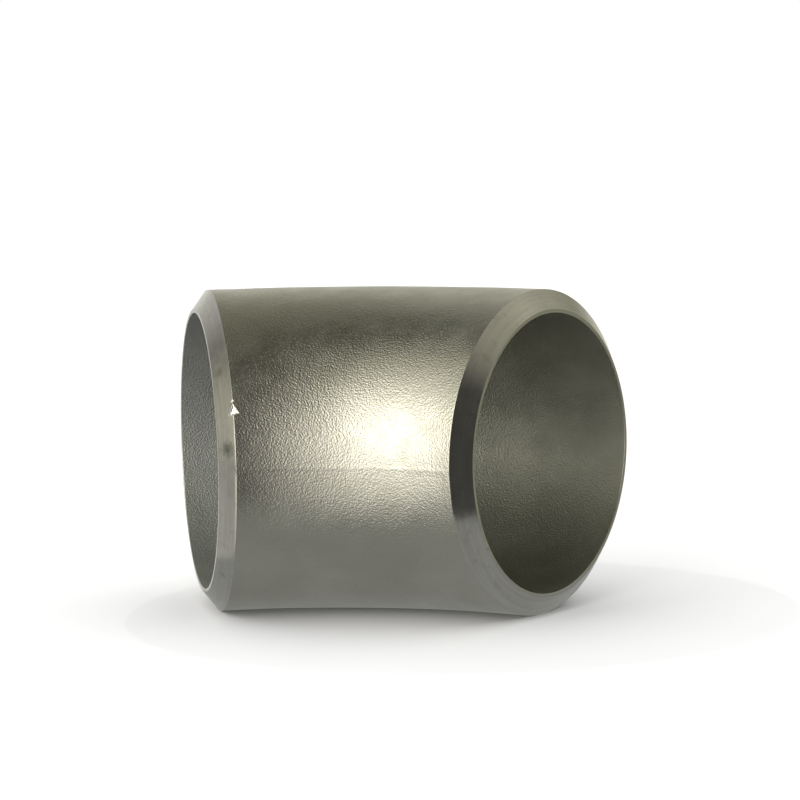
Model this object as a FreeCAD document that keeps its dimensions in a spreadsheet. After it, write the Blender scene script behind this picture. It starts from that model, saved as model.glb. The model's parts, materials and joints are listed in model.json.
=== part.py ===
"""A 45 degree long-radius butt-weld pipe elbow: one seamless piece of steel, and the burr on one weld bevel.

Half of the elbow is drawn about the bend's centre, with the middle of the bend on +Y and the bend plane
level, and is mirrored into the whole. The dies that sized it left a low band along the inside and the outside
of the bend, where they met. The body's placement then puts the centre of end A's face at the origin, with
pipe A leaving along -X, pipe B leaving along +X turned by the bend angle towards -Y, and +Z square to the
bend plane.
"""

import FreeCAD, Part
import os
from math import asin, cos, pi, radians, sin, sqrt, tan

import Sketcher
from FreeCAD import Placement, Rotation, Vector

# Driving dimensions, in millimetres and degrees. The elbow's are those of a 2 1/2 inch (DN 65) fitting.
DIMENSIONS = {
    "outside_diameter": 73.0,
    "wall": 5.16,
    "bend_radius": 95.25,
    "bend_angle": 45.0,
    "centre_to_end": 44.0,
    "bevel_angle": 37.5,
    "root_face": 0.85,
    "die_line_width": 3.0,
    "die_line_height": 0.25,
    "die_line_sunk": 1.0,
    "burr_bearing": 22.0,
    "burr_foot_width": 2.2,
    "burr_tip_width": 0.3,
    "burr_height": 2.1,
    "burr_foot_depth": 0.5,
    "burr_tip_depth": 0.1,
    "burr_sunk": 0.9,
}

# What is left of a pipe's centre-to-end size once the bend has taken its share.
STRAIGHT_LENGTH = (
    "Dimensions.centre_to_end - Dimensions.bend_radius * tan(Dimensions.bend_angle / 2)"
)


def make_sheet(doc):
    """The spreadsheet that every size is read from."""
    sheet = doc.addObject("Spreadsheet::Sheet", "Dimensions")
    for row, (name, value) in enumerate(DIMENSIONS.items(), start=1):
        sheet.set(f"A{row}", name)
        sheet.set(f"B{row}", str(value))
        sheet.setAlias(f"B{row}", name)
    doc.recompute()
    return sheet


def origin_plane(body, role):
    """One of a body's own origin planes, by its role."""
    return next(f for f in body.Origin.OriginFeatures if f.Role == role)


def hold(sketch, *constraint, follows=None):
    """Adds a constraint to a sketch, and lets it follow a formula over the sheet where it has one."""
    index = sketch.addConstraint(Sketcher.Constraint(*constraint))
    if follows:
        sketch.setExpression(f"Constraints[{index}]", follows)


def new_section(body, name):
    """An empty sketch across the tube, in the plane where the elbow's two halves meet."""
    section = body.newObject("Sketcher::SketchObject", name)
    section.AttachmentSupport = (origin_plane(body, "YZ_Plane"), [""])
    section.MapMode = "FlatFace"
    return section


def draw_tube_section(body, sheet):
    """The ring of the tube's wall, one bend radius out from the bend's centre."""
    section = new_section(body, "tube_section")
    centre = Vector(sheet.bend_radius, 0, 0)
    diameters = {
        "Dimensions.outside_diameter": sheet.outside_diameter,
        "Dimensions.outside_diameter - 2 * Dimensions.wall": sheet.outside_diameter - 2 * sheet.wall,
    }
    for formula, diameter in diameters.items():
        circle = section.addGeometry(Part.Circle(centre, Vector(0, 0, 1), diameter / 2), False)
        hold(section, "PointOnObject", circle, 3, -1)
        hold(section, "DistanceX", -1, 1, circle, 3, centre.x, follows="Dimensions.bend_radius")
        hold(section, "Diameter", circle, diameter, follows=formula)
    return section


def draw_die_line_section(body, sheet):
    """The two bands that stand proud of the tube: a rectangle inside the bend, and another outside it."""
    section = new_section(body, "die_line_section")
    outer = sheet.outside_diameter / 2
    half_width = sheet.die_line_width / 2
    for side, sign in ((-1, "-"), (1, "+")):
        foot = sheet.bend_radius + side * (outer - sheet.die_line_sunk)
        crest = sheet.bend_radius + side * (outer + sheet.die_line_height)
        corners = [
            Vector(foot, -half_width, 0),
            Vector(crest, -half_width, 0),
            Vector(crest, half_width, 0),
            Vector(foot, half_width, 0),
        ]
        lower, front, upper, back = (
            section.addGeometry(Part.LineSegment(start, end), False)
            for start, end in zip(corners, corners[1:] + corners[:1])
        )
        for line, following in ((lower, front), (front, upper), (upper, back), (back, lower)):
            hold(section, "Coincident", line, 2, following, 1)
        for line in (lower, upper):
            hold(section, "Horizontal", line)
        for line in (front, back):
            hold(section, "Vertical", line)
        formula = f"Dimensions.bend_radius {sign} (Dimensions.outside_diameter / 2"
        hold(section, "DistanceX", -1, 1, lower, 1, foot, follows=f"{formula} - Dimensions.die_line_sunk)")
        hold(section, "DistanceX", -1, 1, lower, 2, crest, follows=f"{formula} + Dimensions.die_line_height)")
        hold(section, "DistanceY", lower, 1, -1, 1, half_width, follows="Dimensions.die_line_width / 2")
        hold(section, "DistanceY", -1, 1, upper, 1, half_width, follows="Dimensions.die_line_width / 2")
    return section


def revolve_half_bend(body, section, name):
    """Turns a section about the bend's axis, from the middle of the bend to its end."""
    turned = body.newObject("PartDesign::Revolution", name)
    turned.Profile = section
    turned.ReferenceAxis = (section, ["V_Axis"])
    turned.Reversed = True
    turned.setExpression("Angle", "Dimensions.bend_angle / 2")
    body.Document.recompute()
    return turned


def end_face(shape):
    """The name of the flat ring that is furthest along +X."""
    rings = {
        f"Face{number}": face.CenterOfMass.x
        for number, face in enumerate(shape.Faces, start=1)
        if isinstance(face.Surface, Part.Plane) and len(face.Wires) > 1
    }
    return max(rings, key=rings.get)


def end_rim(shape):
    """The name of the outer edge of the flat ring that is furthest along +X."""
    face = shape.getElement(end_face(shape))
    rim = max(face.Edges, key=lambda edge: edge.Length)
    return next(f"Edge{number}" for number, edge in enumerate(shape.Edges, start=1) if edge.isSame(rim))


def make_elbow(doc, sheet):
    """The elbow: a bent tube with a short straight length and a weld bevel at each end."""
    body = doc.addObject("PartDesign::Body", "elbow_body")
    bend = revolve_half_bend(body, draw_tube_section(body, sheet), "half_bend")

    straight = body.newObject("PartDesign::Pad", "straight")
    straight.Profile = (bend, [end_face(bend.Shape)])
    straight.setExpression("Length", STRAIGHT_LENGTH)
    doc.recompute()

    die_lines = revolve_half_bend(body, draw_die_line_section(body, sheet), "die_lines")

    bevel = body.newObject("PartDesign::Chamfer", "weld_bevel")
    bevel.Base = (die_lines, [end_rim(die_lines.Shape)])
    bevel.ChamferType = "Distance and Angle"
    bevel.FlipDirection = True
    bevel.setExpression("Size", "Dimensions.wall - Dimensions.root_face")
    bevel.setExpression("Angle", "Dimensions.bevel_angle")
    doc.recompute()

    other_half = body.newObject("PartDesign::Mirrored", "other_half")
    other_half.TransformMode = "Whole shape"
    other_half.MirrorPlane = (origin_plane(body, "YZ_Plane"), [""])
    body.Tip = other_half

    body.Placement = Placement(Vector(), Rotation(Vector(0, 0, -1), sheet.bend_angle / 2))
    body.setExpression("Placement.Base.x", STRAIGHT_LENGTH)
    body.setExpression("Placement.Base.y", "-Dimensions.bend_radius")
    doc.recompute()
    return body


def make_burr(doc, sheet, elbow):
    """A flake of metal thrown up astride end A's bevel edge, cut to lie on the elbow's surface.

    It is a wedge with a broad foot and a tip that points up round the rim. Its own X runs across the edge,
    its Y round the rim, and its Z straight out of the edge, halfway between the tube's side and the bevel.
    """
    flake = doc.addObject("Part::Wedge", "burr_flake")
    corners = {
        "Xmin": "-Dimensions.burr_foot_width / 2",
        "Xmax": "Dimensions.burr_foot_width / 2",
        "X2min": "-Dimensions.burr_tip_width / 2",
        "X2max": "Dimensions.burr_tip_width / 2",
        "Ymin": "-Dimensions.burr_height / 2",
        "Ymax": "Dimensions.burr_height / 2",
        "Zmin": "-Dimensions.burr_sunk",
        "Zmax": "Dimensions.burr_foot_depth",
        "Z2min": "-Dimensions.burr_sunk",
        "Z2max": "Dimensions.burr_tip_depth",
    }
    for name, formula in corners.items():
        flake.setExpression(name, formula)
    bearing = radians(sheet.burr_bearing)
    radial = Vector(0, -cos(bearing), sin(bearing))
    round_rim = Vector(0, sin(bearing), cos(bearing))
    lean = radians(90 - sheet.bevel_angle) / 2
    outward = radial * cos(lean) - Vector(1, 0, 0) * sin(lean)
    bevel_length = (sheet.wall - sheet.root_face) * tan(radians(sheet.bevel_angle))
    flake.Placement = Placement(
        Vector(bevel_length, 0, 0) + radial * (sheet.outside_diameter / 2),
        Rotation(round_rim.cross(outward), round_rim, outward, "ZYX"),
    )
    burr = doc.addObject("Part::Cut", "bevel_burr")
    burr.Base = flake
    burr.Tool = elbow
    doc.recompute()
    return burr


def check(doc, pieces):
    """Stops if any object failed, or if a sub-part isn't one valid solid."""
    failed = [item.Name for item in doc.Objects if {"Invalid", "Error"} & set(item.State)]
    if failed:
        raise RuntimeError(f"these objects failed: {failed}")
    for piece in pieces:
        shape = piece.Shape
        if shape.isNull() or not shape.isValid() or len(shape.Solids) != 1:
            raise RuntimeError(f"{piece.Label} isn't one valid solid")


def elbow_volume(sheet):
    """The volume that the elbow should have: the tube and its two die lines, less the two bevels."""
    outer = sheet.outside_diameter / 2
    section = pi * (outer**2 - (outer - sheet.wall) ** 2)
    half_bend = radians(sheet.bend_angle) / 2
    bend_length = sheet.bend_radius * half_bend
    straight = sheet.centre_to_end - sheet.bend_radius * tan(half_bend)
    tube = section * (bend_length + straight)

    half_width = sheet.die_line_width / 2
    under_arc = outer**2 * asin(half_width / outer) + half_width * sqrt(outer**2 - half_width**2)
    band = sheet.die_line_width * (outer + sheet.die_line_height) - under_arc
    die_lines = 2 * band * bend_length

    depth = sheet.wall - sheet.root_face
    bevel = 2 * pi * (outer - depth / 3) * depth**2 * tan(radians(sheet.bevel_angle)) / 2
    return 2 * (tube + die_lines - bevel)


def main():
    doc = FreeCAD.newDocument("PipeElbow")
    sheet = make_sheet(doc)
    elbow = make_elbow(doc, sheet)
    burr = make_burr(doc, sheet, elbow)
    pieces = {"elbow_body": elbow, "bevel_burr": burr}
    for label, piece in pieces.items():
        piece.Label = label
    check(doc, pieces.values())
    if abs(elbow.Shape.Volume / elbow_volume(sheet) - 1) > 1e-5:
        raise RuntimeError("the elbow's volume isn't that of its tube and die lines, less the bevels")

    os.makedirs("parts", exist_ok=True)
    for label, piece in pieces.items():
        piece.Shape.exportStep(f"parts/{label}.step")
        print(label, f"{piece.Shape.Volume:.2f} mm3", piece.Shape.BoundBox)


main()
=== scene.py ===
"""The looks of a 45 degree butt-weld pipe elbow: blasted outside, turned bevels, satin bore and a burr.

The elbow is one closed mesh. Its profile runs along the outside from end A to end B, down end B's bevel,
across its root face, back along the bore, and over end A's root face and bevel. That profile is turned right
round the pipe's centre line, and the forming dies' marks are pressed into the outside. Sizes come from the
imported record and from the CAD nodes' boxes. Lengths are in metres, and the frame is the CAD's.
"""

import json
from math import atan2, cos, pi, radians, sin, tan

import bmesh
import bpy
import numpy as np
from mathutils import Euler, Matrix, Vector, noise


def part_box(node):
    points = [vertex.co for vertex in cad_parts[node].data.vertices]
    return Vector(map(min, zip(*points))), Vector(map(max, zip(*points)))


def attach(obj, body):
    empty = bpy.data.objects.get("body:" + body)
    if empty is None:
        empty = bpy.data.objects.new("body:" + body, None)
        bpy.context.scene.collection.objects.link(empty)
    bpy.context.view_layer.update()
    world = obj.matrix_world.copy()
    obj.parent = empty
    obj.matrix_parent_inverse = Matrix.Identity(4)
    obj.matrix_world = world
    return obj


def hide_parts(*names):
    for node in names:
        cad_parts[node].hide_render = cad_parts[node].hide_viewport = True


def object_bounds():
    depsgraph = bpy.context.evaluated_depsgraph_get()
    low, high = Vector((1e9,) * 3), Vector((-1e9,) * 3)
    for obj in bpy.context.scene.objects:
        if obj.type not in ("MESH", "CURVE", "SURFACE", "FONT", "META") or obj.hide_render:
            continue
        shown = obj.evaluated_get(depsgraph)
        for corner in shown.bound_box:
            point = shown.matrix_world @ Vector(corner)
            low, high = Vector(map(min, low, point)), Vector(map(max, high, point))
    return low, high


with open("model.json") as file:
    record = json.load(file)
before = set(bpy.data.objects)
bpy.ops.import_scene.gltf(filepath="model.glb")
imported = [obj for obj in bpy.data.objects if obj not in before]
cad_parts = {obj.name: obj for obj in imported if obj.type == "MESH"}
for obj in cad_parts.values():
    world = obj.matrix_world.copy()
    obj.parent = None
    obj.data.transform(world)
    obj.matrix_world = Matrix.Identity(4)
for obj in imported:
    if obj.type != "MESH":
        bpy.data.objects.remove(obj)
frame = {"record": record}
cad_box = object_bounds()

MM = 0.001

# The elbow's sizes, from the record and the CAD.
mounts = {mount["name"]: mount for mount in frame["record"]["mounts"]}
bore_radius = mounts["end_a_bore"]["dims"]["r_mm"] * MM
straight = mounts["end_a_bore"]["dims"]["length_mm"] * MM
root_face = 2 * (mounts["end_a_root_face"]["pos_m"][2] - bore_radius)
end_b = Vector(mounts["end_b_bore"]["pos_m"])
end_b_axis = Vector(mounts["end_b_bore"]["axis"])
turn = atan2(-end_b_axis.y, end_b_axis.x)
centre_to_end = -end_b.y / sin(turn)
bend_radius = (centre_to_end - straight) / tan(turn / 2)
lowest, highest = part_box("elbow_body")
outer_radius = (highest.z - lowest.z) / 2
root_radius = bore_radius + root_face
total_length = bend_radius * turn + 2 * straight

BEVEL_ANGLE = radians(37.5)
bevel_length = (outer_radius - root_radius) * tan(BEVEL_ANGLE)

# How finely the elbow is divided. CROWDING draws the columns towards the die lines, and EDGE_HOLD is how
# close a row of points lies beside each rounded edge.
AROUND = 384
CROWDING = 0.5
OUTSIDE_STEP = 0.62 * MM
BORE_STEP = 1.5 * MM
BEVEL_STEP = 0.5 * MM
ROOT_STEP = 0.25 * MM
EDGE_STEPS = 3
EDGE_HOLD = 0.06 * MM

# How far each machined edge is rounded back from its corner.
BEVEL_EDGE = 0.035 * MM
ROOT_EDGE = 0.07 * MM
BORE_EDGE = 0.12 * MM

# The elbow's four kinds of surface, in the order of its materials.
OUTSIDE, BEVEL, ROOT, BORE = range(4)


def rounded_corner(before, corner, after, reach):
    """The points that take a profile round one of its corners."""
    start = corner + (before - corner) / np.linalg.norm(before - corner) * reach
    finish = corner + (after - corner) / np.linalg.norm(after - corner) * reach
    share = np.linspace(0, 1, EDGE_STEPS + 1)[:, None]
    return start * (1 - share) ** 2 + corner * 2 * share * (1 - share) + finish * share**2


def make_profile():
    """The closed outline as (distance along the centre line, radius) points, and the surface after each."""
    far = total_length
    # Each corner's place, how far it is rounded, its surface, and the surface and step of the run after it.
    corners = [
        (bevel_length, outer_radius, BEVEL_EDGE, BEVEL, OUTSIDE, OUTSIDE_STEP),
        (far - bevel_length, outer_radius, BEVEL_EDGE, BEVEL, BEVEL, BEVEL_STEP),
        (far, root_radius, ROOT_EDGE, ROOT, ROOT, ROOT_STEP),
        (far, bore_radius, BORE_EDGE, ROOT, BORE, BORE_STEP),
        (0, bore_radius, BORE_EDGE, ROOT, ROOT, ROOT_STEP),
        (0, root_radius, ROOT_EDGE, ROOT, BEVEL, BEVEL_STEP),
    ]
    places = [np.array(corner[:2]) for corner in corners]
    arcs = [
        rounded_corner(places[k - 1], places[k], places[(k + 1) % len(places)], corners[k][2])
        for k in range(len(places))
    ]
    points, surfaces = [], []
    for k, (_, _, _, edge_surface, surface, step) in enumerate(corners):
        leave, arrive = arcs[k][-1], arcs[(k + 1) % len(arcs)][0]
        length = np.linalg.norm(arrive - leave)
        ahead = (arrive - leave) / length
        run = np.linspace(EDGE_HOLD, length - EDGE_HOLD, max(2, round(length / step)))
        points += [arcs[k], leave + ahead * run[:, None]]
        surfaces += [edge_surface] * EDGE_STEPS + [surface] * (len(run) + 1)
    return np.concatenate(points), surfaces


def centre_line(distance):
    """Where the pipe's centre line is, and which way the outside of the bend lies, at distances along it."""
    angle = np.clip((distance - straight) / bend_radius, 0, turn)
    along = distance - straight - angle * bend_radius
    x = straight + bend_radius * np.sin(angle) + along * np.cos(angle)
    y = bend_radius * (np.cos(angle) - 1) - along * np.sin(angle)
    return x, y, np.sin(angle), np.cos(angle)


def placed(distance, radius, angle):
    """The points at distances along the centre line, radii from it, and angles from the bend's outside."""
    x, y, out_x, out_y = centre_line(distance)
    reach = radius * np.cos(angle)
    return np.stack([x + reach * out_x, y + reach * out_y, radius * np.sin(angle)], axis=-1)


def noise_at(points, size, offset):
    """Smooth noise of about one unit either way, whose lumps are of the given size."""
    shift = Vector((offset, offset * 2, offset * 3))
    flat = points.reshape(-1, 3) / size
    return np.array([noise.noise(Vector(point) + shift) for point in flat]).reshape(points.shape[:-1])


def layered_noise(points, layers):
    """The sum of several noises, each with its own size, height and offset."""
    return sum(height * noise_at(points, size, offset) for size, height, offset in layers)


# The outside's slow waves and ripples from forming: size of the lumps, height, and the noise's offset.
WAVES = ((13 * MM, 0.07 * MM, 3.1), (4 * MM, 0.016 * MM, 7.7))

# The two lines where the dies met: an uneven ridge, with the surface just below it slack.
DIE_LINE_WIDTH = 0.45 * MM
DIE_LINE_HEIGHT = 0.06 * MM
UNEVEN_SIZE = 9 * MM
UNEVEN_OFFSET = 5.3
UNEVEN_MIDDLE, UNEVEN_RANGE = 0.65, 0.5
DIE_SLACK = 0.035
DIE_SLACK_REACH = 7 * MM

# The relief fades towards the turned ends: what is left of it at the bevel's edge, and how soon it is back.
RELIEF_AT_EDGE = 0.35
RELIEF_RETURN = 4 * MM


def outside_relief(distance, angle, points):
    """How far the formed surface stands off a true tube."""
    relief = layered_noise(points, WAVES)
    for line, upwards in ((0, 1), (pi, -1)):
        above = upwards * outer_radius * ((angle - line + pi) % (2 * pi) - pi)
        lumps = noise_at(points * [1, 1, 0], UNEVEN_SIZE, UNEVEN_OFFSET + line)
        uneven = UNEVEN_MIDDLE + UNEVEN_RANGE * lumps
        ridge = DIE_LINE_HEIGHT * uneven * np.exp(-((above / DIE_LINE_WIDTH) ** 2))
        below = np.maximum(-above, 0)
        relief = relief + ridge - DIE_SLACK * below * np.exp(-below / DIE_SLACK_REACH)
    from_edge = np.minimum(distance, total_length - distance) - bevel_length
    return relief * np.clip(RELIEF_AT_EDGE + from_edge / RELIEF_RETURN, 0, 1)


# The nick in end B's root face: how far below the inside of the bend, and how wide and deep it is.
NICK_BEARING = radians(33)
NICK_WIDTH = 0.45 * MM
NICK_DEPTH = 0.35 * MM


def nick_in_root_face(distance, points):
    """How far each point is pressed back along the pipe by the nick."""
    nick = placed(np.array(total_length), np.array(root_radius), np.array(pi + NICK_BEARING))
    away = np.linalg.norm(points - nick, axis=-1)
    return NICK_DEPTH * np.exp(-((away / NICK_WIDTH) ** 2))


def grid_faces(numbers):
    """The four-sided faces between neighbouring points, from a table of the points' numbers."""
    corners = [numbers[:-1, :-1], numbers[:-1, 1:], numbers[1:, 1:], numbers[1:, :-1]]
    return np.stack(corners, axis=-1).reshape(-1, 4)


def add_object(name, data):
    """A new object in the scene."""
    thing = bpy.data.objects.new(name, data)
    bpy.context.scene.collection.objects.link(thing)
    return thing


def closed_mesh(name, points, faces):
    """A smooth closed mesh whose faces all look outwards."""
    mesh = bpy.data.meshes.new(name)
    mesh.from_pydata(points.reshape(-1, 3).tolist(), [], faces.tolist())
    shape = bmesh.new()
    shape.from_mesh(mesh)
    bmesh.ops.recalc_face_normals(shape, faces=shape.faces)
    shape.to_mesh(mesh)
    shape.free()
    mesh.polygons.foreach_set("use_smooth", [True] * len(mesh.polygons))
    return mesh


def note_turning(mesh, outline, angle):
    """Notes how far along the profile each point is, and its bearing, for the rings that the lathe left."""
    steps = np.linalg.norm(np.diff(outline, axis=0, append=outline[:1]), axis=1)
    travelled = np.concatenate([[0], np.cumsum(steps)[:-1]])
    travelled = np.repeat(travelled[:, None], AROUND, axis=1)
    turned = np.stack([travelled, np.cos(angle), np.sin(angle)], axis=-1)
    attribute = mesh.attributes.new("turned", "FLOAT_VECTOR", "POINT")
    attribute.data.foreach_set("vector", turned.astype(np.float32).ravel())


def make_elbow():
    """The whole elbow as one mesh, with a material for each kind of surface."""
    outline, surfaces = make_profile()
    even = np.arange(AROUND) / AROUND * 2 * pi
    around = even - CROWDING / 2 * np.sin(2 * even)
    distance, angle = np.meshgrid(outline[:, 0], around, indexing="ij")
    radius = np.repeat(outline[:, 1:], AROUND, axis=1)
    points = placed(distance, radius, angle)
    outside = outline[:, 1] > outer_radius - BEVEL_EDGE
    radius[outside] += outside_relief(distance[outside], angle[outside], points[outside])
    points = placed(distance - nick_in_root_face(distance, points), radius, angle)

    numbers = np.arange(radius.size).reshape(radius.shape)
    faces = grid_faces(np.pad(numbers, ((0, 1), (0, 1)), mode="wrap"))
    mesh = closed_mesh("elbow", points, faces)
    mesh.polygons.foreach_set("material_index", np.repeat(surfaces, AROUND).astype(np.int32))
    note_turning(mesh, outline, angle)
    return add_object("elbow", mesh)


# The burr: a bright three-cornered flake astride end A's bevel edge, with a smaller one just above it. Each
# corner is (across the edge, up round the rim, height above the edge), in millimetres.
BURR_FLAKES = (
    ((-1.35, -1.75, 0.16), (1.65, -1.60, 0.34), (0.05, 1.15, 0.18)),
    ((-0.85, 1.15, 0.10), (0.60, 1.35, 0.20), (0.10, 2.15, 0.12)),
)
# The patch that the burr's mesh covers, as left, right, bottom and top, and the mesh's step.
BURR_REACH = (-1.7 * MM, 2.0 * MM, -2.1 * MM, 2.5 * MM)
BURR_STEP = 0.05 * MM
# The burr's ragged edge and top: size of the lumps, height, and the noise's offset.
BURR_ROUGHNESS = ((0.35 * MM, 0.05 * MM, 11.3), (0.15 * MM, 0.03 * MM, 2.9))
# How far in from its edge a flake is at its full height, how deep its middle sags, and where the sag starts.
BURR_RISE = 0.14 * MM
BURR_DIMPLE = 0.22 * MM
DIMPLE_START = 0.8
# How far the burr's skin is sunk where there is no flake, and how much deeper its underside is.
BURR_SUNK = 0.15 * MM
UNDERSIDE_DEPTH = 3


def flake_height(across, up, corners):
    """How high a flake's top is over each point, and how far inside its edges the point is."""
    (x1, y1, z1), (x2, y2, z2), (x3, y3, z3) = np.array(corners) * MM
    area = (x2 - x1) * (y3 - y1) - (x3 - x1) * (y2 - y1)
    second = ((across - x1) * (y3 - y1) - (x3 - x1) * (up - y1)) / area
    third = ((x2 - x1) * (up - y1) - (across - x1) * (y2 - y1)) / area
    first = 1 - second - third
    shares = (first, second, third)
    sides = (np.hypot(x3 - x2, y3 - y2), np.hypot(x3 - x1, y3 - y1), np.hypot(x2 - x1, y2 - y1))
    inside = np.minimum.reduce([share * abs(area) / side for share, side in zip(shares, sides)])
    return first * z1 + second * z2 + third * z3, inside


def burr_heights(across, up, lean):
    """How high the burr's top and its underside are above the bevel's edge, over each point."""
    steel = -np.abs(across) * tan(lean) - up**2 / (2 * outer_radius)
    ragged = layered_noise(np.stack([across, up, np.zeros_like(up)], axis=-1), BURR_ROUGHNESS)
    crust = steel - BURR_SUNK
    for corners in BURR_FLAKES:
        height, inside = flake_height(across, up, corners)
        inside = inside + ragged
        rise = np.clip(inside / BURR_RISE, 0, 1)
        rise = rise * rise * (3 - 2 * rise)
        dimple = BURR_DIMPLE * np.clip(inside / BURR_DIMPLE - DIMPLE_START, 0, 1)
        crust = np.maximum(crust, crust + (height + ragged - dimple - crust) * rise)
    return crust, steel - UNDERSIDE_DEPTH * BURR_SUNK


def make_burr():
    """The burr, as a closed skin over the bevel's edge, sunk into the steel wherever there is no flake."""
    low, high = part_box("bevel_burr")
    bearing = atan2(low.z + high.z, -low.y - high.y)
    lean = (pi / 2 - BEVEL_ANGLE) / 2
    radial = Vector((0, -cos(bearing), sin(bearing)))
    round_rim = Vector((0, sin(bearing), cos(bearing)))
    outward = radial * cos(lean) - Vector((1, 0, 0)) * sin(lean)
    edge = Vector((bevel_length, 0, 0)) + radial * outer_radius

    left, right, bottom, top = BURR_REACH
    columns, rows = round((right - left) / BURR_STEP), round((top - bottom) / BURR_STEP)
    across, up = np.meshgrid(np.linspace(left, right, columns), np.linspace(bottom, top, rows))
    axes = [np.array(axis) for axis in (round_rim.cross(outward), round_rim, outward)]
    layers = [
        np.array(edge) + sum(share[..., None] * axis for share, axis in zip((across, up, height), axes))
        for height in burr_heights(across, up, lean)
    ]

    upper = np.arange(rows * columns).reshape(rows, columns)
    rim = np.concatenate([upper[0, :-1], upper[:-1, -1], upper[-1, :0:-1], upper[:0:-1, 0], upper[0, :1]])
    sides = np.stack([rim, rim + upper.size])
    faces = np.concatenate([grid_faces(upper), grid_faces(upper + upper.size), grid_faces(sides)])
    return add_object("burr", closed_mesh("burr", np.stack(layers), faces))


class Tree:
    """The nodes of a material or a world, filled one at a time. Inputs are sockets or plain values."""

    def __init__(self, owner):
        owner.use_nodes = True
        self.nodes = owner.node_tree.nodes
        self.links = owner.node_tree.links
        self.nodes.clear()

    def add(self, kind, inputs, output=0, **settings):
        """Adds a node and returns one of its outputs."""
        node = self.nodes.new("ShaderNode" + kind)
        for name, value in settings.items():
            setattr(node, name, value)
        for socket, value in inputs.items():
            if isinstance(value, bpy.types.NodeSocket):
                self.links.new(value, node.inputs[socket])
            else:
                node.inputs[socket].default_value = value
        return node.outputs[output]

    def end(self, shader, kind="Material"):
        """Sends a shader to the tree's output."""
        output = self.nodes.new("ShaderNodeOutput" + kind)
        self.links.new(shader, output.inputs["Surface"])

    def place(self):
        """Positions in the CAD's frame, in metres."""
        return self.add("TexCoord", {}, output="Object")

    def noise(self, vector, size, detail=0.0, output="Fac"):
        """Noise whose lumps are of the given size."""
        return self.add("TexNoise", {"Vector": vector, "Scale": 1 / size, "Detail": detail}, output=output)

    def maths(self, operation, first, second):
        return self.add("Math", {0: first, 1: second}, operation=operation)

    def vector_maths(self, operation, first, second, output="Vector"):
        return self.add("VectorMath", {0: first, 1: second}, output=output, operation=operation)

    def spread(self, value, low, high, to_low, to_high, **settings):
        """Stretches a value from one range to another, and holds it inside."""
        inputs = {"Value": value, "From Min": low, "From Max": high, "To Min": to_low, "To Max": to_high}
        return self.add("MapRange", inputs, **settings)

    def mix(self, share, first, second):
        """Mixes two colours."""
        return self.add("Mix", {0: share, 6: first, 7: second}, output=2, data_type="RGBA")

    def bump(self, height, distance, under=None):
        """A normal that follows a height, on top of another normal where there is one."""
        inputs = {"Height": height, "Distance": distance, "Strength": 1.0}
        if under is not None:
            inputs["Normal"] = under
        return self.add("Bump", inputs)

    def metal(self, colour, roughness, normal, metallic=1.0):
        """Ends the tree in a metal."""
        inputs = {"Base Color": colour, "Metallic": metallic, "Roughness": roughness, "Normal": normal}
        self.end(self.add("BsdfPrincipled", inputs))


# A noise's centre, and the ranges that the middle of it, and nearly all of it, fall in.
NOISE_CENTRE = (0.5, 0.5, 0.5)
NOISE_MIDDLE = (0.35, 0.65)
NOISE_SPAN = (0.3, 0.7)

# The blasted surface: round dimples between grains, pulled about a little, with a finer tooth on top.
GRAIN_SIZE = 0.36 * MM
DIMPLE_SIZE = 0.5 * MM
DIMPLE_SHARE = 0.45
PULL_SIZE = 3 * MM
PULL_REACH = 0.3 * MM
TOOTH_SIZE = 0.2 * MM
TOOTH_HEIGHT = 0.012 * MM

# The blasted surface's colour and polish: slow patches, small dark specks, and a roughness that drifts.
PATCH_SIZE = 14 * MM
SPECK_SIZE = 0.6 * MM
SPECK_RANGE = (0.62, 0.75)
SPECK_STRENGTH = 0.35
SPECK_SHADE = 0.6
POLISH_SIZE = 5 * MM
POLISH_DRIFT = 0.04

# How far along X from end A's face the colour is painted lighter, fully and at all. This is painted light,
# for the light that falls into the bore through end A's mouth.
END_A_PAINTED_LIGHT_REACH = (6 * MM, 34 * MM)


def blasted_relief(tree, place, grain_height):
    """The normal of a surface covered in the small even dimples of shot blasting."""
    pull = tree.vector_maths("SUBTRACT", tree.noise(place, PULL_SIZE, output="Color"), NOISE_CENTRE)
    pulled = tree.vector_maths("ADD", place, tree.vector_maths("MULTIPLY", pull, (PULL_REACH,) * 3))
    grain = tree.noise(pulled, GRAIN_SIZE)
    cells = {"Vector": pulled, "Scale": 1 / DIMPLE_SIZE, "Smoothness": 1.0}
    dimples = tree.add("TexVoronoi", cells, feature="SMOOTH_F1")
    relief = tree.maths("ADD", grain, tree.maths("MULTIPLY", dimples, DIMPLE_SHARE))
    tooth = tree.noise(place, TOOTH_SIZE, detail=1.0)
    return tree.bump(tooth, TOOTH_HEIGHT, under=tree.bump(relief, grain_height))


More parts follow.
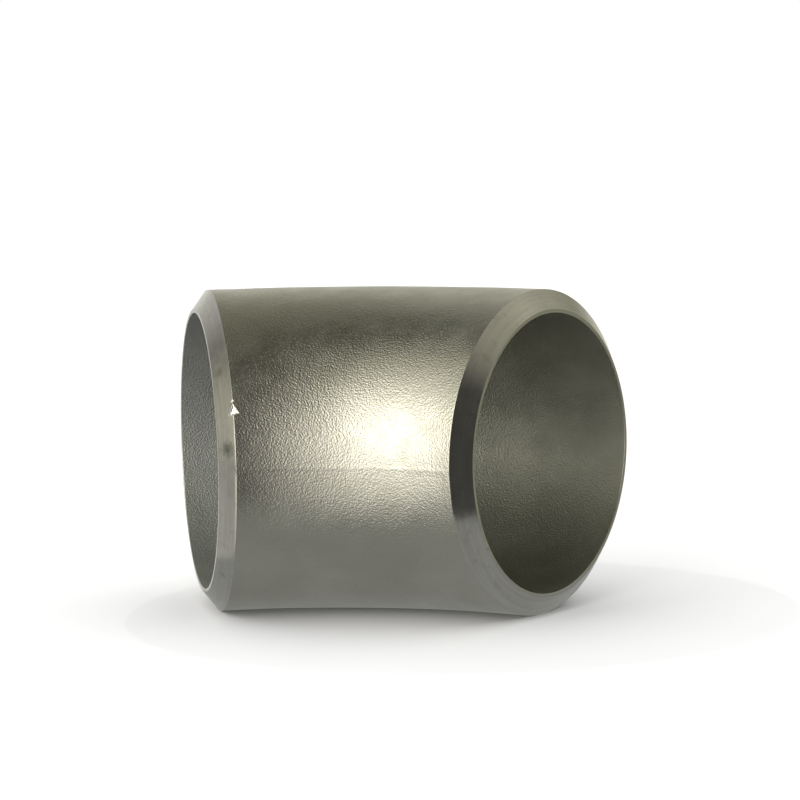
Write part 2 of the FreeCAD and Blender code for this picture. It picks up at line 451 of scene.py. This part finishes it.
def blasted_steel(name, light, dark, grain_height, roughness, metallic=1.0, end_a_painted_light=None):
    """Blasted steel with slow changes of colour. If end A's colour is given, it is painted in close to end A:
    painted light, lighter than the rest.
    """
    material = bpy.data.materials.new(name)
    tree = Tree(material)
    place = tree.place()
    patches = tree.spread(tree.noise(place, PATCH_SIZE, detail=3.0), *NOISE_MIDDLE, 0.0, 1.0)
    specks = tree.spread(tree.noise(place, SPECK_SIZE, detail=2.0), *SPECK_RANGE, 0.0, SPECK_STRENGTH)
    red, green, blue = (SPECK_SHADE * part for part in dark[:3])
    colour = tree.mix(specks, tree.mix(patches, dark, light), (red, green, blue, 1))
    # Painted light: towards end A's face the colour turns lighter, standing in for the light that comes in
    # through end A's mouth.
    if end_a_painted_light:
        from_end_a = tree.add("SeparateXYZ", {"Vector": place}, output="X")
        colour = tree.mix(tree.spread(from_end_a, *END_A_PAINTED_LIGHT_REACH, 1.0, 0.0), colour, end_a_painted_light)
    polish = tree.noise(place, POLISH_SIZE, detail=3.0)
    rough = tree.spread(polish, *NOISE_SPAN, roughness - POLISH_DRIFT, roughness + POLISH_DRIFT)
    tree.metal(colour, rough, blasted_relief(tree, place, grain_height), metallic)
    return material


# The turned surface's rings, fine and broad: their width, and how fast they change round the rim.
FINE_RING, FINE_CHANGE = 0.3 * MM, 1.5
BROAD_RING, BROAD_CHANGE = 0.9 * MM, 2.5
BROAD_SHARE = 0.6

# The faint smudges all over the turned surface, and the drift of its polish.
SMUDGE_SIZE = 2.2 * MM
SMUDGE_RANGE = (0.56, 0.72)
SMUDGE_STRENGTH = 0.3
SMUDGE_COLOUR = (0.30, 0.27, 0.22, 1)
SHEEN_SIZE = 3 * MM
SHEEN_BRIGHTER, SHEEN_DULLER = 0.04, 0.05

# Marks left on end A's bevel: where each is, how far it reaches, how strong it is, and its colour.
STAINS = (
    ((1.3 * MM, -27.0 * MM, 20.6 * MM), 2.0 * MM, 0.6, (0.22, 0.17, 0.13, 1)),
    ((1.9 * MM, -34.3 * MM, 4.4 * MM), 2.8 * MM, 0.95, (0.15, 0.16, 0.13, 1)),
    ((1.6 * MM, -23.5 * MM, -25.0 * MM), 1.3 * MM, 0.5, (0.24, 0.25, 0.18, 1)),
)
# Their ragged edges: the noise's size, and its share of their reach. They fade between two shares of it.
STAIN_RAGGED_SIZE = 0.9 * MM
STAIN_RAGGED_SHARE = 0.9
STAIN_FADE = (0.5, 1.3)


def add_stains(tree, place, colour):
    """Lays the marks over a colour."""
    ragged = tree.noise(place, STAIN_RAGGED_SIZE, detail=3.0)
    for middle, reach, strength, tint in STAINS:
        away = tree.vector_maths("DISTANCE", place, middle, output="Value")
        uneven = tree.maths("ADD", away, tree.maths("MULTIPLY", ragged, STAIN_RAGGED_SHARE * reach))
        fade_from, fade_to = (share * reach for share in STAIN_FADE)
        colour = tree.mix(tree.spread(uneven, fade_from, fade_to, strength, 0.0), colour, tint)
    return colour


def turned_steel(name, light, dark, groove_height, roughness):
    """Steel with the fine rings that a lathe leaves."""
    material = bpy.data.materials.new(name)
    tree = Tree(material)
    place = tree.place()
    turned = tree.add("Attribute", {}, output="Vector", attribute_name="turned")
    fine = tree.vector_maths("MULTIPLY", turned, (1 / FINE_RING, FINE_CHANGE, FINE_CHANGE))
    broad = tree.vector_maths("MULTIPLY", turned, (1 / BROAD_RING, BROAD_CHANGE, BROAD_CHANGE))
    fine_rings = tree.noise(fine, 1, detail=1.0)
    broad_rings = tree.noise(broad, 1, detail=2.0)
    broad_part = tree.maths("MULTIPLY", broad_rings, BROAD_SHARE)
    fine_part = tree.maths("MULTIPLY", fine_rings, 1 - BROAD_SHARE)
    shade = tree.spread(tree.maths("ADD", broad_part, fine_part), *NOISE_MIDDLE, 0.0, 1.0)
    colour = tree.mix(shade, dark, light)
    smudges = tree.spread(tree.noise(place, SMUDGE_SIZE, detail=3.0), *SMUDGE_RANGE, 0.0, SMUDGE_STRENGTH)
    colour = add_stains(tree, place, tree.mix(smudges, colour, SMUDGE_COLOUR))
    sheen = tree.noise(place, SHEEN_SIZE, detail=2.0)
    rough = tree.spread(sheen, *NOISE_SPAN, roughness - SHEEN_BRIGHTER, roughness + SHEEN_DULLER)
    tree.metal(colour, rough, tree.bump(fine_rings, groove_height))
    return material


# The finish of each surface: its light and dark colours, the height of its grain or grooves, its roughness.
BLASTED_OUTSIDE = {
    "light": (0.455, 0.445, 0.39, 1),
    "dark": (0.405, 0.395, 0.34, 1),
    "grain_height": 0.074 * MM,
    "roughness": 0.38,
}
TURNED_BEVEL = {
    "light": (0.52, 0.505, 0.46, 1),
    "dark": (0.44, 0.43, 0.38, 1),
    "groove_height": 0.003 * MM,
    "roughness": 0.19,
}
TURNED_ROOT = TURNED_BEVEL | {"dark": (0.43, 0.42, 0.38, 1)}
SATIN_BORE = {
    "light": (0.34, 0.34, 0.29, 1),
    "dark": (0.27, 0.27, 0.23, 1),
    "grain_height": 0.08 * MM,
    "roughness": 0.56,
    "metallic": 0.9,
    # Painted light: the lighter colour that the bore is painted near end A, for the light that comes in
    # through end A's mouth.
    "end_a_painted_light": (0.425, 0.435, 0.415, 1),
}
BRIGHT_BURR = {
    "light": (0.90, 0.88, 0.82, 1),
    "dark": (0.78, 0.76, 0.70, 1),
    "grain_height": 0.01 * MM,
    "roughness": 0.24,
}


def dress_elbow(elbow):
    """Gives the elbow its materials, in the order of its kinds of surface."""
    elbow.data.materials.append(blasted_steel("blasted_steel", **BLASTED_OUTSIDE))
    elbow.data.materials.append(turned_steel("turned_bevel", **TURNED_BEVEL))
    elbow.data.materials.append(turned_steel("turned_root", **TURNED_ROOT))
    elbow.data.materials.append(blasted_steel("satin_bore", **SATIN_BORE))


# The floor is a wide disc with a finer middle. It has a light of its own, and the steel doesn't reflect it.
FLOOR_RADII = (0.3, 6)
FLOOR_SEGMENTS = 96
FLOOR_COLOUR = (0.424, 0.424, 0.432, 1)
FLOOR_ROUGHNESS = 0.9
FLOOR_LIGHT = 6.6
FLOOR_LIGHT_SPREAD = radians(160)
FLOOR_LIGHT_FROM = (-60, 68)

# In its place the steel reflects a glowing card just above the floor, which the camera doesn't see.
CARD_RADII = (76 * MM,)
CARD_SEGMENTS = 192
CARD_CENTRE = Vector((56 * MM, -22 * MM, 0))
CARD_ABOVE_FLOOR = 0.05 * MM
CARD_COLOUR = (0.385, 0.395, 0.39, 1)


def flat_disc(name, radii, segments, height, centre):
    """A flat disc of the stage: a fan out to the first radius, and rings out to the others."""
    shape = bmesh.new()
    middle = shape.verts.new((centre.x, centre.y, height))
    angles = [2 * pi * k / segments for k in range(segments)]
    rings = [
        [shape.verts.new((centre.x + radius * cos(a), centre.y + radius * sin(a), height)) for a in angles]
        for radius in radii
    ]
    for k in range(segments):
        after = (k + 1) % segments
        shape.faces.new((middle, rings[0][k], rings[0][after]))
        for inner, outer in zip(rings, rings[1:]):
            shape.faces.new((inner[k], outer[k], outer[after], inner[after]))
    mesh = bpy.data.meshes.new(name)
    shape.to_mesh(mesh)
    shape.free()
    disc = add_object(name, mesh)
    return disc


def plain_surface(name, shader, inputs):
    """A material that is one shader."""
    material = bpy.data.materials.new(name)
    tree = Tree(material)
    tree.end(tree.add(shader, inputs))
    return material


def direction(azimuth, elevation):
    """The unit vector towards an azimuth (0 on -Y, 90 on +X) and an elevation, in degrees."""
    a, e = radians(azimuth), radians(elevation)
    return Vector((sin(a) * cos(e), -cos(a) * cos(e), sin(e)))


def light_floor(floor):
    """A broad light from above that falls on the floor alone, with the elbow's shadow in it."""
    receivers = bpy.data.collections.new("lit_floor")
    receivers.objects.link(floor)
    data = bpy.data.lights.new("above_floor", "SUN")
    data.energy = FLOOR_LIGHT
    data.angle = FLOOR_LIGHT_SPREAD
    light = add_object("above_floor", data)
    light.rotation_mode = "QUATERNION"
    light.rotation_quaternion = (-direction(*FLOOR_LIGHT_FROM)).to_track_quat("-Z", "Y")
    light.light_linking.receiver_collection = receivers


def make_floor():
    """The pale floor under the elbow, its light, and the card that the elbow's underside reflects."""
    below_elbow = (cad_box[0] + cad_box[1]) / 2
    floor = flat_disc("floor", FLOOR_RADII, FLOOR_SEGMENTS, -outer_radius, below_elbow)
    floor.visible_glossy = False
    paper = {"Base Color": FLOOR_COLOUR, "Roughness": FLOOR_ROUGHNESS}
    floor.data.materials.append(plain_surface("pale_floor", "BsdfPrincipled", paper))
    light_floor(floor)

    card = flat_disc("card", CARD_RADII, CARD_SEGMENTS, CARD_ABOVE_FLOOR - outer_radius, CARD_CENTRE)
    card.visible_camera = False
    card.visible_diffuse = False
    card.visible_shadow = False
    card.data.materials.append(plain_surface("glowing_card", "Emission", {"Color": CARD_COLOUR}))


# The studio's soft lights, as seen from the elbow: azimuth, elevation, the angles from its middle where it
# fades out and where it is full, its brightness and its colour. Six of them began as another program's fit to
# the photo's brightness. All were then changed, or added, by trial against it.
WARM, GOLDEN = (1.0, 0.97, 0.90), (1.0, 0.985, 0.84)
NEUTRAL, GREENISH, COOL = (1.0, 1.0, 0.97), (1.0, 0.995, 0.78), (0.92, 0.96, 1.0)
SOFT_LIGHTS = (
    (-56, 14, 35, 5, 2.25, WARM),
    (-52, 14, 16, 3, 1.1, COOL),
    (-44, 0, 52, 5, 1.25, WARM),
    (-72, 32, 50, 5, 1.1, GOLDEN),
    (-62, -42, 45, 10, 0.45, NEUTRAL),
    (-105, -35, 50, 15, 0.5, NEUTRAL),
    (25, 0, 50, 20, 0.08, NEUTRAL),
    (120, 15, 80, 50, 0.36, GREENISH),
    (112, 30, 30, 5, 0.20, WARM),
    (75, 45, 36, 22, 0.14, WARM),
    (-165, 0, 60, 5, 0.66, NEUTRAL),
)


def make_world():
    """White behind everything, and the soft lights all round for whatever the elbow reflects."""
    world = bpy.data.worlds.new("studio")
    bpy.context.scene.world = world
    tree = Tree(world)
    sky = tree.add("TexCoord", {}, output="Generated")
    towards = tree.add("VectorMath", {0: sky}, operation="NORMALIZE")
    total = (0.0, 0.0, 0.0)
    for azimuth, elevation, faded, full, brightness, colour in SOFT_LIGHTS:
        along = tree.vector_maths("DOT_PRODUCT", towards, direction(azimuth, elevation), output="Value")
        edge, core = cos(radians(faded)), cos(radians(full))
        share = tree.spread(along, edge, core, 0.0, brightness, interpolation_type="SMOOTHSTEP")
        total = tree.add("VectorMath", {0: share, 1: colour, 2: total}, operation="MULTIPLY_ADD")
    lit = tree.add("Background", {"Color": total})
    white = tree.add("Background", {"Color": (1, 1, 1, 1)})
    seen = tree.add("LightPath", {}, output="Is Camera Ray")
    tree.end(tree.add("MixShader", {0: seen, 1: lit, 2: white}), kind="World")


# The camera: its distance from the middle of the bend's centre line, its azimuth and elevation from there,
# its roll, and how far its aim is turned from that middle. The lens and the sensor are in millimetres. All
# but the sensor and the clipping come from another program's fit to the outlines in the photo.
CAMERA_DISTANCE = 869.9 * MM
CAMERA_FROM = (-10.17, 7.218)
CAMERA_ROLL = -1.183
CAMERA_PAN = -0.2654
CAMERA_TILT = 0.7022
LENS = 172.23
SENSOR_WIDTH = 36
CLIP_START, CLIP_END = 0.05, 50


def make_camera():
    """The camera, a long lens that looks along the bend's middle from a little above."""
    x, y, _, _ = centre_line(total_length / 2)
    back = direction(*CAMERA_FROM)
    data = bpy.data.cameras.new("camera")
    data.lens = LENS
    data.sensor_width = SENSOR_WIDTH
    data.clip_start = CLIP_START
    data.clip_end = CLIP_END
    camera = add_object("camera", data)
    aim = Euler((radians(CAMERA_TILT), radians(CAMERA_PAN), 0)).to_matrix()
    level = (-back).to_track_quat("-Z", "Y").to_matrix()
    rotation = level @ Matrix.Rotation(radians(CAMERA_ROLL), 3, "Z") @ aim
    camera.matrix_world = Matrix.Translation(Vector((x, y, 0)) + back * CAMERA_DISTANCE) @ rotation.to_4x4()
    bpy.context.scene.camera = camera


bpy.context.scene.view_settings.view_transform = "Standard"

elbow = make_elbow()
dress_elbow(elbow)
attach(elbow, "root")
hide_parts("elbow_body")

burr = make_burr()
burr.data.materials.append(blasted_steel("bright_burr", **BRIGHT_BURR))
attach(burr, "root")
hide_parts("bevel_burr")

make_floor()
make_world()
make_camera()
